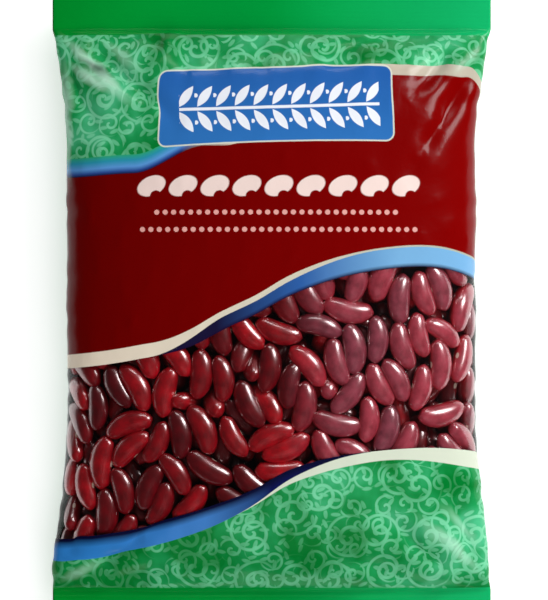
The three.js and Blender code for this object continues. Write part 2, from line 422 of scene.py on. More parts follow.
def wall_depth(points):
    """How deep points are inside the bag's form, and the direction that leads out."""

    def fill(p):
        x, y, z = p[:, 0], p[:, 1], p[:, 2]
        full = swell(y)
        fold = SEAL_HEIGHT + EDGE_LIFT * full
        reach = np.maximum(np.where(z > fold, FRONT_RISE, BACK_DROP) * full, LEAST_REACH)
        return 1 - (x / half_width(y)) ** 2 - (np.abs(z - fold) / reach) ** (2 / SHOULDER)

    value = fill(points)
    steps = np.eye(3) * PROBE
    slope = np.stack([(fill(points + step) - fill(points - step)) / (2 * PROBE) for step in steps], 1)
    size = np.maximum(np.linalg.norm(slope, axis=1), 1e-6)
    return value / size, -slope / size[:, None]


def unit(vectors):
    """The same directions, each of length 1."""
    return vectors / np.maximum(np.linalg.norm(vectors, axis=-1, keepdims=True), 1e-9)


def first_places(draw):
    """Centres spread at random in the bag, and long axes that mostly lean a little to the left."""
    centres = []
    while len(centres) < BEAN_COUNT:
        low = (-BODY_WIDTH / 2, -SEAL_LINE + FIRST_GAP, 0)
        high = (BODY_WIDTH / 2, SEAL_LINE - FIRST_GAP, SEAL_HEIGHT + FRONT_RISE + FIRST_HEADROOM)
        centre = draw.uniform(low, high)
        if wall_depth(centre[None])[0][0] > BEAN_THICKNESS / 2:
            centres.append(centre)
    lean = np.radians(draw.normal(LEAN_MEAN, LEAN_SPREAD, BEAN_COUNT))
    lean[draw.random(BEAN_COUNT) < SHARE_ACROSS] += math.pi / 2
    tilt = np.radians(draw.normal(0, TILT_SPREAD, BEAN_COUNT))
    axes = np.stack([-np.sin(lean) * np.cos(tilt), np.cos(lean) * np.cos(tilt), np.sin(tilt)], 1)
    side = np.where(draw.random(BEAN_COUNT) < 0.5, -1, 1)[:, None]
    widths = side * np.stack([np.cos(lean), np.sin(lean), 0 * lean], 1)
    return np.array(centres), axes, widths + draw.normal(0, ROLL_SPREAD, (BEAN_COUNT, 3))


def squared(axes, widths):
    """The same axes with each width turned square to its long axis."""
    axes = unit(axes)
    widths = unit(widths - axes * np.sum(widths * axes, 1, keepdims=True))
    return axes, widths


def lobes_of(centres, axes, widths, grown):
    """Three points along each bean's curved middle line."""
    along = np.array([-BEAN_TIP, 0, BEAN_TIP]) * grown
    aside = np.array([BEAN_SAG, -BEAN_SAG, BEAN_SAG]) * grown
    return centres[:, None] + along[:, None] * axes[:, None] + aside[:, None] * widths[:, None]


def lobe_reach(bean, lobe, towards, axes, widths, sizes):
    """How far a bean's skin is from one of its lobes in a direction."""
    wide = np.where(lobe == 1, 1, TIP_WIDTH) * BEAN_WIDTH / 2 * sizes[bean]
    thick = np.where(lobe == 1, 1, TIP_THICKNESS) * BEAN_THICKNESS / 2 * sizes[bean]
    across = np.sum(towards * widths[bean], 1)
    return np.sqrt((wide * across) ** 2 + thick**2 * np.maximum(1 - across**2, 0))


def lobe_pairs(centres, grown):
    """Every pair of lobes of two beans that lie close to each other."""
    apart = np.linalg.norm(centres[:, None] - centres[None], axis=2)
    first, second = np.nonzero(np.triu(apart < (BEAN_LENGTH + BEAN_WIDTH / 2) * grown, 1))
    own = np.repeat(np.arange(3), 3)
    other = np.tile(np.arange(3), 3)
    return np.repeat(first, 9), np.tile(own, len(first)), np.repeat(second, 9), np.tile(other, len(first))


def bean_pushes(pairs, lobes, axes, widths, sizes, grown):
    """How far beans that overlap push each lobe away."""
    bean_a, lobe_a, bean_b, lobe_b = pairs
    gap = lobes[bean_a, lobe_a] - lobes[bean_b, lobe_b]
    distance = np.linalg.norm(gap, axis=1)
    close = distance < BEAN_WIDTH * NEAR_SHARE * grown
    bean_a, lobe_a, bean_b, lobe_b = bean_a[close], lobe_a[close], bean_b[close], lobe_b[close]
    towards = gap[close] / np.maximum(distance[close], 1e-6)[:, None]
    reach = lobe_reach(bean_a, lobe_a, towards, axes, widths, sizes)
    reach = reach + lobe_reach(bean_b, lobe_b, towards, axes, widths, sizes)
    push = towards * (np.maximum(reach * grown - distance[close], 0) * PUSH_SHARE)[:, None]
    moves = np.zeros((BEAN_COUNT * 3, 3))
    for part in range(3):
        moves[:, part] += np.bincount(bean_a * 3 + lobe_a, push[:, part], BEAN_COUNT * 3)
        moves[:, part] -= np.bincount(bean_b * 3 + lobe_b, push[:, part], BEAN_COUNT * 3)
    return moves


def wall_pushes(lobes, axes, widths, sizes, grown):
    """How far the film pushes each lobe in, or draws the outer layer out until it lies against the film."""
    flat = lobes.reshape(-1, 3)
    bean = np.repeat(np.arange(BEAN_COUNT), 3)
    lobe = np.tile(np.arange(3), BEAN_COUNT)
    depth, out = wall_depth(flat)
    short = lobe_reach(bean, lobe, out, axes, widths, sizes) * grown - depth
    outward = np.where(short > 0, -WALL_SHARE * np.minimum(short, WALL_PUSH_LIMIT), 0)
    outward = np.where((short < 0) & (short > -FILM_PRESS_DEPTH), -FILM_PRESS * short, outward)
    moves = out * outward[:, None]
    up = np.tile([0.0, 0.0, 1.0], (len(bean), 1))
    sunk = lobe_reach(bean, lobe, up, axes, widths, sizes) * grown + FLOOR_GAP - flat[:, 2]
    moves[:, 2] += np.maximum(sunk, 0) * FLOOR_SHARE
    return moves


def packed_beans():
    """Centres, long axes, widths and sizes of the beans, pushed apart until they fill the bag."""
    draw = np.random.default_rng(SEED)
    centres, axes, widths = first_places(draw)
    sizes = np.clip(draw.normal(1, SIZE_SPREAD, BEAN_COUNT), *SIZE_LIMITS)
    for step in range(PACK_STEPS):
        grown = min(1, START_SIZE + (1 - START_SIZE) * step / GROW_STEPS)
        axes, widths = squared(axes, widths)
        lobes = lobes_of(centres, axes, widths, grown)
        if step % PAIR_STEPS == 0:
            pairs = lobe_pairs(centres, grown)
        moves = bean_pushes(pairs, lobes, axes, widths, sizes, grown)
        moves += wall_pushes(lobes, axes, widths, sizes, grown)
        moves = moves.reshape(-1, 3, 3)
        arm = lobes - centres[:, None]
        centres = centres + moves.sum(1) / 2
        turn = np.cross(arm, moves).sum(1) / (2 * (BEAN_TIP * grown) ** 2 + BEAN_WIDTH)
        axes = axes + np.cross(turn, axes)
        widths = widths + np.cross(turn, widths)
        depth, out = wall_depth(centres)
        near = (np.clip(1 - (depth - BEAN_THICKNESS / 2) / WALL_TURN_DEPTH, 0, 1) * WALL_TURN)[:, None]
        axes = axes - near * out * np.sum(axes * out, 1, keepdims=True)
        widths = widths - WALL_ROLL * near * out * np.sum(widths * out, 1, keepdims=True)
    axes, widths = squared(axes, widths)
    return centres, axes, widths, sizes


def bean_model(segments, rings):
    """One kidney bean at the origin, its long axis along Z and its hollow side towards +X."""
    bpy.ops.mesh.primitive_uv_sphere_add(segments=segments, ring_count=rings, radius=1)
    bean = bpy.context.active_object
    bpy.ops.object.mode_set(mode="EDIT")
    bpy.ops.transform.resize(value=(BEAN_WIDTH / 2, BEAN_THICKNESS / 2, BEAN_LENGTH / 2))
    bpy.ops.object.mode_set(mode="OBJECT")
    plump = bean.modifiers.new("plump", "CAST")
    plump.cast_type = "CYLINDER"
    plump.factor = BEAN_PLUMPNESS
    bend = bean.modifiers.new("bend", "SIMPLE_DEFORM")
    bend.deform_method = "BEND"
    bend.deform_axis = "Y"
    bend.angle = math.radians(BEAN_BEND)
    bpy.ops.object.modifier_apply(modifier="plump")
    bpy.ops.object.modifier_apply(modifier="bend")
    points = np.array([vertex.co for vertex in bean.data.vertices])
    points *= np.array([BEAN_WIDTH, BEAN_THICKNESS, BEAN_LENGTH]) / np.ptp(points, axis=0)
    faces = [tuple(polygon.vertices) for polygon in bean.data.polygons]
    bpy.data.objects.remove(bean)
    return points, faces


def placed(name, data):
    """A new object at the origin, put into the scene."""
    thing = bpy.data.objects.new(name, data)
    bpy.context.scene.collection.objects.link(thing)
    return thing


def new_mesh(name, points, faces):
    """A smooth-shaded mesh object at the origin, from points in millimetres."""
    mesh = bpy.data.meshes.new(name)
    mesh.from_pydata((points * MM).tolist(), [], faces)
    mesh.shade_smooth()
    return placed(name, mesh)


def point_value(piece, name, values, kind="FLOAT", field="value"):
    """Give each point of a piece a value that its finish reads."""
    made = piece.data.attributes.new(name, kind, "POINT")
    made.data.foreach_set(field, values.ravel())


def beans_in_bag(pile):
    """All the beans as one mesh, finer where the clear band shows them, less any that stick out at a seal."""
    centres, axes, widths, sizes = pile
    shown = (wall_depth(centres)[0] < SHOWN_DEPTH) & (centres[:, 2] > SEAL_HEIGHT - SHOWN_UNDER_SEAL)
    shown &= (centres[:, 1] < SHOWN_TOP) & (centres[:, 1] > SHOWN_BOTTOM)
    tones = np.random.default_rng(SEED + 1).random(BEAN_COUNT)
    kept = []
    faces = []
    count = 0
    for chosen, (segments, rings) in ((shown, FINE_BEAN), (~shown, PLAIN_BEAN)):
        model, model_faces = bean_model(segments, rings)
        model_faces = [np.array(face) for face in model_faces]
        for bean in np.nonzero(chosen)[0]:
            thick = np.cross(axes[bean], widths[bean])
            turned = np.stack([widths[bean], thick, axes[bean]])
            points = model * sizes[bean] @ turned + centres[bean]
            points[:, 2] += max(0, FLOOR_GAP - points[:, 2].min())
            under = wall_depth(points)[0]
            if under.min() < -STICKS_OUT or np.abs(points[:, 1]).max() > SEAL_LINE - SEAL_GAP:
                continue
            # Each point's depth under the film drives the beans' painted shade
            kept.append((points, model, np.full(len(model), tones[bean]), under / DARK_DEPTH))
            faces.extend((face + count).tolist() for face in model_faces)
            count += len(model)
    points, places, tones, depths = (np.concatenate(values) for values in zip(*kept))
    beans = new_mesh("beans", points, faces)
    point_value(beans, "bean_place", places, "FLOAT_VECTOR", "vector")
    point_value(beans, "bean_tone", tones)
    point_value(beans, "bean_depth", depths)
    return beans


def room_to_beans(smooth, normal, beans):
    """How far out the beans come under each point of the film, from its smooth place."""
    corners = [vertex.co for vertex in beans.data.vertices]
    tree = BVHTree.FromPolygons(corners, [tuple(polygon.vertices) for polygon in beans.data.polygons])
    contact = np.full(smooth.shape[:2], -float(RAY_REACH))
    for row in range(SEAL_ROWS, ROWS - SEAL_ROWS + 1):
        for column in range(COLUMNS):
            away = Vector(normal[row, column])
            origin = (Vector(smooth[row, column]) + away * RAY_START) * MM
            hit = tree.ray_cast(origin, -away, (RAY_START + RAY_REACH) * MM)
            if hit[0] is not None:
                contact[row, column] = RAY_START - hit[3] / MM
    contact[:, -1] = contact[:, 0]
    spread = contact.copy()
    for around in (-1, 0, 1):
        for along in (-1, 0, 1):
            spread = np.maximum(spread, np.roll(contact, (along, around), (0, 1)))
    return spread


def pulled_tight(contact, thickness_left):
    """The film as a membrane drawn in over the beans: it touches the high ones and sags a little between."""
    floor = np.maximum(contact[:, :-1] + FILM_CLEARANCE, -thickness_left[:, :-1])
    depth = np.zeros_like(floor)
    for _ in range(DRAPE_STEPS):
        sides = np.roll(depth, 1, 1) + np.roll(depth, -1, 1)
        ends = np.zeros_like(depth)
        ends[1:-1] = depth[:-2] + depth[2:]
        depth = np.maximum(floor, (sides + ends) / 4 - DRAPE_SAG)
        depth[: SEAL_ROWS + 1] = 0
        depth[ROWS - SEAL_ROWS :] = 0
    return np.concatenate((depth, depth[:, :1]), 1)


def seal_ribs(along):
    """The fine ribs that the sealing jaws press across each end."""
    into = np.abs(along) - SEAL_LINE
    return RIB_HEIGHT * np.cos(2 * math.pi * into / RIB_PITCH) * np.clip(into / RIB_PITCH, 0, 1)


def film_points(around, along, beans):
    """Every point of the film, drawn over the beans, with ribbed seals that close at their cut edges."""
    smooth = smooth_film(around, along)
    smooth += normals_of(smooth) * (creases(around, along) + wrinkles(around, along))[..., None]
    normal = normals_of(smooth)
    contact = room_to_beans(smooth, normal, beans)
    room = FRONT_RISE * swell(along) * DENT_SHARE
    points = smooth + normal * pulled_tight(contact, room)[..., None]
    points[..., 2] += seal_ribs(along)
    for edge in (0, ROWS):
        points[edge, :, 2] = fold_height(points[edge, :, 0], points[edge, :, 1])
    points[..., 2] = np.maximum(points[..., 2], FILM_FLOOR)
    return points


def rounded_box(x, y, half_wide, half_high, radius):
    """Distance into a rounded rectangle round the origin, positive inside."""
    over_x = np.abs(x) - half_wide + radius
    over_y = np.abs(y) - half_high + radius
    outside = np.hypot(np.maximum(over_x, 0), np.maximum(over_y, 0))
    return radius - outside - np.minimum(np.maximum(over_x, over_y), 0)


def blend(places, low, high):
    """0 below low, 1 above high, with a soft start and end."""
    f = np.clip((places - low) / (high - low), 0, 1)
    return f * f * (3 - 2 * f)


def stepped(around, steps):
    """A value that changes in soft steps round the web."""
    start, *changes = steps
    return start + sum(change * blend(around, low, high) for change, low, high in changes)


def inks(around, along):
    """How far each point lies inside each printed field, in millimetres. Positive is inside."""
    upper = round_the_web(UPPER_EDGE, around)
    lower = round_the_web(LOWER_EDGE, around)
    above = upper + stepped(around, BLUE_ABOVE) - along
    below = along - lower + stepped(around, BLUE_BELOW)
    red_top = stepped(around, RED_TOP) - RED_CORNER_DROP * blend(around, *RED_CORNER) ** 2
    red = np.minimum(np.minimum(red_top - along, along - upper), RED_RIGHT_END - around)
    on_front = np.abs(around) < WINDOW_END
    up_panel = along - PANEL_MIDDLE[1] - PANEL_SLOPE * around + PANEL_SAG * around**2
    panel = rounded_box(around - PANEL_MIDDLE[0], up_panel, *PANEL_HALF, PANEL_CORNER)
    return {
        "red": np.where(on_front, red, FAR_OUTSIDE),
        "rim": np.where(on_front, red + stepped(around, RED_RIM), FAR_OUTSIDE),
        "to_window": np.maximum(along - upper, lower - along),
        "panel": panel,
        "panel_rim": panel + PANEL_RIM,
        "blue_above": above,
        "cream_above": above + stepped(around, CREAM_ABOVE),
        "blue_below": below,
        "cream_below": below + stepped(around, CREAM_BELOW),
        "back": np.abs(around) - WINDOW_END,
        "label": rounded_box(around - LABEL_MIDDLE[0], along - LABEL_MIDDLE[1], *LABEL_HALF, LABEL_CORNER),
        "seal": np.maximum(along - SEAL_PRINT_TOP, SEAL_PRINT_BOTTOM - along),
    }


def lay_out_print(piece, around, along):
    """Give each point of a piece its place on the flat web and its distance into each ink."""
    web = piece.data.uv_layers[0]
    web.name = "web"
    corner = np.empty(len(piece.data.loops), np.int32)
    piece.data.loops.foreach_get("vertex_index", corner)
    flat = np.stack([around.ravel() / WEB_WIDTH + 0.5, along.ravel() / (2 * HALF_LENGTH) + 0.5], 1)
    web.data.foreach_set("uv", flat[corner].ravel())
    for name, depth in inks(around, along).items():
        point_value(piece, name, depth)


def split_off(film, chosen):
    """Part the chosen faces from the film as a piece of their own."""
    bpy.ops.object.mode_set(mode="EDIT")
    bpy.ops.mesh.select_mode(type="FACE")
    bpy.ops.object.mode_set(mode="OBJECT")
    film.data.polygons.foreach_set("select", chosen.ravel())
    bpy.ops.object.mode_set(mode="EDIT")
    bpy.ops.mesh.separate(type="SELECTED")
    bpy.ops.object.mode_set(mode="OBJECT")
    return next(thing for thing in bpy.context.selected_objects if thing is not film)


def close_web(piece):
    """Merge the points where the web's two edges meet."""
    bpy.ops.object.select_all(action="DESELECT")
    piece.select_set(True)
    bpy.context.view_layer.objects.active = piece
    bpy.ops.object.mode_set(mode="EDIT")
    bpy.ops.mesh.select_all(action="SELECT")
    bpy.ops.mesh.remove_doubles(threshold=MERGE_DISTANCE * MM)
    bpy.ops.object.mode_set(mode="OBJECT")


def film_pieces(beans):
    """The printed film and its clear band, rolled from one flat web and merged at the fin seal."""
    around, along = web_places()
    points = film_points(around, along, beans)
    bpy.ops.mesh.primitive_grid_add(x_subdivisions=COLUMNS, y_subdivisions=ROWS, size=WEB_WIDTH * MM)
    film = bpy.context.active_object
    film.name = film.data.name = "printed_film"
    film.data.vertices.foreach_set("co", (points * MM).ravel())
    lay_out_print(film, around, along)
    row, column = np.meshgrid(np.arange(ROWS), np.arange(COLUMNS), indexing="ij")
    middle = around[0, column] + WEB_WIDTH / COLUMNS / 2
    window_start = SEAL_ROWS + LOW_ROWS
    clear = (row >= window_start) & (row < window_start + WINDOW_ROWS) & (np.abs(middle) < WINDOW_END)
    film.data.shade_smooth()
    film.data.update()
    window = split_off(film, clear)
    window.name = window.data.name = "clear_film"
    close_web(film)
    close_web(window)
    return film, window, points, along


def fin_seal(points, along):
    """The lengthwise seal: two webs joined face to face, folded flat against the back."""
    rows = list(range(SEAL_ROWS, ROWS - SEAL_ROWS + 1, 2))
    size = FIN_WIDTH * MM
    bpy.ops.mesh.primitive_grid_add(x_subdivisions=FIN_STEPS, y_subdivisions=len(rows) - 1, size=size)
    fin = bpy.context.active_object
    fin.name = fin.data.name = "fin_seal"
    from_edge = np.linspace(0, FIN_WIDTH, FIN_STEPS + 1)
    column = COLUMNS - from_edge / (WEB_WIDTH / COLUMNS)
    place = np.zeros((len(rows), FIN_STEPS + 1, 3))
    for line, row in enumerate(rows):
        for part in range(3):
            place[line, :, part] = np.interp(column, np.arange(COLUMNS + 1), points[row, :, part])
    place[..., 2] -= FIN_DROP * np.minimum(np.arange(FIN_STEPS + 1) / 2, 1)
    place[..., 2] = np.maximum(place[..., 2], FIN_HEIGHT)
    fin.data.vertices.foreach_set("co", (place * MM).ravel())
    fin.data.update()
    up = along[rows][:, : FIN_STEPS + 1]
    lay_out_print(fin, WEB_WIDTH / 2 - np.broadcast_to(from_edge, up.shape), up)
    wall = fin.modifiers.new("wall", "SOLIDIFY")
    wall.thickness = FIN_WALL * MM
    wall.offset = 0
    bpy.ops.object.modifier_apply(modifier="wall")
    fin.data.shade_smooth()
    return fin


def colour(code):
    """An sRGB hex colour as linear red, green, blue and alpha."""
    parts = [int(code[i : i + 2], 16) / 255 for i in (0, 2, 4)]
    return (*[p / 12.92 if p <= 0.04045 else ((p + 0.055) / 1.055) ** 2.4 for p in parts], 1)


def add_node(tree, kind, inputs=(), stops=(), **settings):
    """One node with its settings and colour stops. Its inputs, in order or by name, are values, sockets or
    other nodes. A kind may name its operation after a space, and what a mix blends is colours."""
    kind, _, operation = kind.partition(" ")
    made = tree.nodes.new("ShaderNode" + kind)
    if operation:
        made.operation = operation
    if kind == "Mix":
        made.data_type = "RGBA"
    for name, value in settings.items():
        setattr(made, name, value)
    if stops:
        ramp = made.color_ramp.elements
        ramp.remove(ramp[1])
        ramp[0].position = stops[0][0]
        ramp[0].color = colour(stops[0][1])
        for position, code in stops[1:]:
            ramp.new(position).color = colour(code)
    if isinstance(inputs, dict):
        given = [(made.inputs[name], value) for name, value in inputs.items()]
    else:
        given = zip([socket for socket in made.inputs if socket.enabled], inputs)
    for socket, value in given:
        if isinstance(value, bpy.types.Node):
            value = next(output for output in value.outputs if output.enabled)
        if isinstance(value, bpy.types.NodeSocket):
            tree.links.new(value, socket)
        else:
            socket.default_value = value
    return made


def new_material(name):
    """A material without nodes, and the function that adds nodes to it."""
    material = bpy.data.materials.new(name)
    material.use_nodes = True
    material.node_tree.nodes.clear()
    return material, functools.partial(add_node, material.node_tree)


def web_position(add):
    """Position on the flat web in millimetres from the front's middle, as a vector, its x and its y."""
    place = add("UVMap", uv_map="web")
    size = (WEB_WIDTH, 2 * HALF_LENGTH, 1)
    start = (-WEB_WIDTH / 2, -HALF_LENGTH, 0)
    scaled = add("Mapping", {"Vector": place, "Scale": size, "Location": start})
    parts = add("SeparateXYZ", (scaled,))
    return scaled, parts.outputs[0], parts.outputs[1]


def cell_scatter(add, position, pitch, looseness):
    """A loose scatter of cells: how far and which way a point is from its cell's centre, and its tint."""
    scaled = add("Mapping", {"Vector": position, "Scale": (1 / pitch, 1 / pitch, 1)})
    loose = {"Vector": scaled, "Scale": 1, "Randomness": looseness}
    cells = add("TexVoronoi", loose, voronoi_dimensions="2D")
    outward = add("VectorMath SUBTRACT", (scaled, cells.outputs["Position"]))
    tint = add("SeparateColor", (cells.outputs["Color"],))
    return cells.outputs["Distance"], outward, tint


def scrolls(add, position, pitch, rings, thin):
    """A traditional scroll ornament: a spiral of its own turn in each cell of a scatter, 1 on its lines."""
    distance, outward, tint = cell_scatter(add, position, pitch, 0.7)
    parts = add("SeparateXYZ", (outward,))
    side = add("Math SUBTRACT", (tint.outputs[1], 0.5))
    sign = add("Math SIGN", (side,))
    mirrored = add("Math MULTIPLY", (parts, sign))
    angle = add("Math ARCTAN2", (parts.outputs[1], mirrored))
    turned = add("Math MULTIPLY_ADD", (angle, -1 / (2 * math.pi), tint))
    phase = add("Math MULTIPLY_ADD", (distance, rings, turned))
    saw = add("Math FRACT", (phase,))
    centred = add("Math SUBTRACT", (saw, 0.5))
    off_line = add("Math ABSOLUTE", (centred,))
    thinned = add("Math MULTIPLY_ADD", (distance, thin, off_line))
    line = add("MapRange", (thinned, 0.13, 0.21, 1, 0))
    inside = add("MapRange", (distance, 0.46, 0.54, 1, 0))
    return add("Math MULTIPLY", (line, inside))


def leaflets(add, position):
    """Small leaf shapes strewn between the scrolls, 0.8 inside them."""
    _, outward, tint = cell_scatter(add, position, LEAFLET_PITCH, 0.9)
    turn = add("Math MULTIPLY", (tint, 2 * math.pi))
    turned = add("VectorRotate", {"Vector": outward, "Angle": turn}, rotation_type="Z_AXIS")
    stretched = add("VectorMath MULTIPLY", (turned, (2.4, 6, 0)))
    reach = add("VectorMath LENGTH", (stretched,))
    return add("MapRange", (reach, 0.75, 1.1, 0.8, 0))


def green_ground(add, position, y):
    """The green field: dark at the lower left and paler away from there, with pale scrolls."""
    patch = {"Vector": position, "Scale": GREEN_PATCHES, "Detail": 3, "Roughness": 0.6}
    patches = add("TexNoise", patch, noise_dimensions="2D")
    from_corner = add("VectorMath DISTANCE", (position, (-60, -95, 0)))
    tilt = add("MapRange", (from_corner, 20, 120, -0.11, 0.08))
    sloped = add("Math ADD", (patches, tilt))
    wash = add("MapRange", (y, 76, 86, 0, -0.04))
    shade = add("Math ADD", (sloped, wash))
    ground = add("ValToRGB", (shade,), ((0.36, "047a2e"), (0.58, "1f9c56"), (0.78, "4cc088")))
    strength = add("MapRange", (shade, 0.34, 0.72, 0.15, 0.95))
    lines = leaflets(add, position)
    for pitch, rings, thin in ((LARGE_SCROLL, 3.9, 0.12), (SMALL_SCROLL, 2.7, 0.1)):
        spirals = scrolls(add, position, pitch, rings, thin)
        lines = add("Math MAXIMUM", (lines, spirals))
    lines = add("Math MULTIPLY", (lines, strength))
    return add("Mix", (lines, ground, colour("7edaaa")))


def one_repeat(add, x, row):
    """How far across a point is from the middle of its own repeat of a printed row."""
    middle, pitch, _ = row
    wrapped = add("Math WRAP", (x, middle + pitch / 2, middle - pitch / 2))
    return add("Math SUBTRACT", (wrapped, middle))


def ends_of_row(add, x, row, motif):
    """A row's motif, cut off where the row ends."""
    within = add("Math COMPARE", (x, row[0], row[2]))
    return add("Math MULTIPLY", (motif, within))


def kidney_row(add, x, y):
    """A printed row of kidney shapes on the red field, 1 inside them."""
    up = add("Math SUBTRACT", (y, KIDNEY_ROW_HEIGHT))
    place = add("CombineXYZ", (one_repeat(add, x, KIDNEY_ROW), up))
    turn = math.radians(KIDNEY_TURN)
    turned = add("VectorRotate", {"Vector": place, "Angle": turn}, rotation_type="Z_AXIS")
    body = add("VectorMath DIVIDE", (turned, (*KIDNEY_HALF, 1)))
    size = add("VectorMath LENGTH", (body,))
    filled = add("MapRange", (size, 0.95, 1.05, 1, 0))
    hollow = add("VectorMath DISTANCE", (turned, (0, -NOTCH_BELOW, 0)))
    notched = add("MapRange", (hollow, NOTCH_RADIUS, NOTCH_RADIUS + 0.3))
    kidney = add("Math MULTIPLY", (filled, notched))
    return ends_of_row(add, x, KIDNEY_ROW, kidney)


def spot(add, place, middle, radius):
    """A round printed spot, 1 inside it."""
    apart = add("VectorMath DISTANCE", (place, middle))
    return add("MapRange", (apart, radius - PRINT_EDGE, radius + PRINT_EDGE, 1, 0))


def bead_row(add, x, y, row, height):
    """A printed row of beads, 1 inside them."""
    place = add("CombineXYZ", (one_repeat(add, x, row), y))
    return ends_of_row(add, x, row, spot(add, place, (0, height, 0), BEAD_RADIUS))


def garland(add, x, y):
    """A laurel garland on the panel: a stem with a pair of pointed leaves in every repeat, and berries."""
    tilted = add("Math MULTIPLY_ADD", (x, -PANEL_SLOPE, y))
    up = add("Math SUBTRACT", (tilted, GARLAND_HEIGHT))
    beside = add("Math ABSOLUTE", (up,))
    place = add("CombineXYZ", (one_repeat(add, x, GARLAND), beside))
    moved = add("VectorMath SUBTRACT", (place, (*LEAF_START, 0)))
    turn = math.radians(LEAF_TURN)
    turned = add("VectorRotate", {"Vector": moved, "Angle": turn}, rotation_type="Z_AXIS")
    parts = add("SeparateXYZ", (turned,))
    taper = add("Math MULTIPLY", (parts, parts))
    curve = -LEAF_WIDTH / LEAF_LENGTH**2
    edge = add("Math MULTIPLY_ADD", (taper, curve, LEAF_WIDTH))
    off = add("Math ABSOLUTE", (parts.outputs[1],))
    inside = add("Math SUBTRACT", (edge, off))
    leaf = add("MapRange", (inside, -PRINT_EDGE, PRINT_EDGE))
    stem = add("MapRange", (beside, STEM_HALF - PRINT_EDGE, STEM_HALF + PRINT_EDGE, 1, 0))
    green = add("Math MAXIMUM", (leaf, stem))
    berry = spot(add, place, (*BERRY_PLACE, 0), BERRY_RADIUS)
    laurel = add("Math MAXIMUM", (green, berry))
    return ends_of_row(add, x, GARLAND, laurel)


def painted_crease_light_and_shade(add, position, ink):
    """The same ink with a pale painted highlight along the creases' crests and painted shade along their
    valleys.
    """
    wander = add("TexNoise", {"Vector": position, "Scale": CREASE_SWAY, "Detail": 2}, noise_dimensions="2D")
    swing = (CREASE_WANDER, CREASE_WANDER, 0)
    bent = add("VectorMath MULTIPLY_ADD", (wander.outputs["Color"], swing, position))
    for start, end, strength in CREASES:
        middle = np.add(start, end) / 2 + CREASE_WANDER / 2
        half = np.subtract(end, start) / 2
        turn = math.atan2(half[1], half[0])
        size = (np.hypot(*half), PAINTED_CREASE_WIDTH, 1)
        frame_of_crease = {"Location": (*middle, 0), "Rotation": (0, 0, turn), "Scale": size}
        near = add("Mapping", {"Vector": bent, **frame_of_crease}, vector_type="TEXTURE")
        reach = add("VectorMath LENGTH", (near,))
        share = PAINTED_CREASE_SHARE * abs(strength)
        mark = add("MapRange", (reach, 0, 1, share, 0), interpolation_type="SMOOTHSTEP")
        # A crest gets a pale painted highlight, a valley a dark painted shade
        paint = colour("c4f0d8") if strength > 0 else colour("063a1c")
        ink = add("Mix", (mark, ink, paint))
    return ink


def waviness(add, position):
    """The small unevenness of thin film that breaks up its reflections."""
    ripples = {"Vector": position, "Scale": BROAD_RIPPLES, "Detail": 3, "Roughness": 0.55}
    broad = add("TexNoise", ripples, noise_dimensions="2D")
    first = add("Bump", {"Height": broad, "Strength": 0.2, "Distance": 0.8 * MM})
    fine = add("TexNoise", {"Vector": position, "Scale": FINE_RIPPLES, "Detail": 2}, noise_dimensions="2D")
    return add("Bump", {"Height": fine, "Strength": 0.08, "Distance": 0.16 * MM, "Normal": first})


def wave_blue(add, across, stops, edge, edge_start, edge_end):
    """A wave's blue, which changes across the bag and is darkest along the clear band."""
    blue = add("ValToRGB", (across,), stops)
    to_window = add("Attribute", attribute_name="to_window")
    lit = add("MapRange", (to_window.outputs["Fac"], edge_start, edge_end))
    return add("Mix", (lit, colour(edge), blue))


def red_rim(add, across, x):
    """The red field's rim: a blue wave on the left and a cream line from there on."""
    into_red = add("Attribute", attribute_name="red")
    depth = add("MapRange", (into_red.outputs["Fac"], -6.4, 0))
    stops = ((0, "2ea87c"), (0.3, "2c96b4"), (0.62, "5c9cde"), (0.85, "30509a"), (1, "0e1030"))
    blue = add("ValToRGB", (depth,), stops)
    cream = add("Mix", (across, colour("e8cdb4"), colour("beb6a4")))
    to_cream = add("MapRange", (x, -30, -12))
    return add("Mix", (to_cream, blue, cream))


def seal_green(add, x):
    """The seals' green, painted darker on the left and brighter with a pale sheen on the right of the front
    as if lit from the right, and mirrored on the back.
    """
    to_side = add("Math ADD", (x, FLAT_WIDTH / 2))
    folded = add("Math PINGPONG", (to_side, FLAT_WIDTH))
    share = add("MapRange", (folded, 0, FLAT_WIDTH))
    # Painted light: the ramp runs from a shaded green to a lit, paler green
    return add("ValToRGB", (share,), ((0, "008a2a"), (0.5, "00983c"), (1, "14b86c")))


def inked(add, ink, field, paint, where=None):
    """The ink so far with one printed field over it."""
    inside = add("Attribute", attribute_name=field)
    mask = add("MapRange", (inside.outputs["Fac"], -INK_SOFTNESS, INK_SOFTNESS))
    if where:
        mask = add("Math MULTIPLY", (mask, where))
    return add("Mix", (mask, ink, paint))


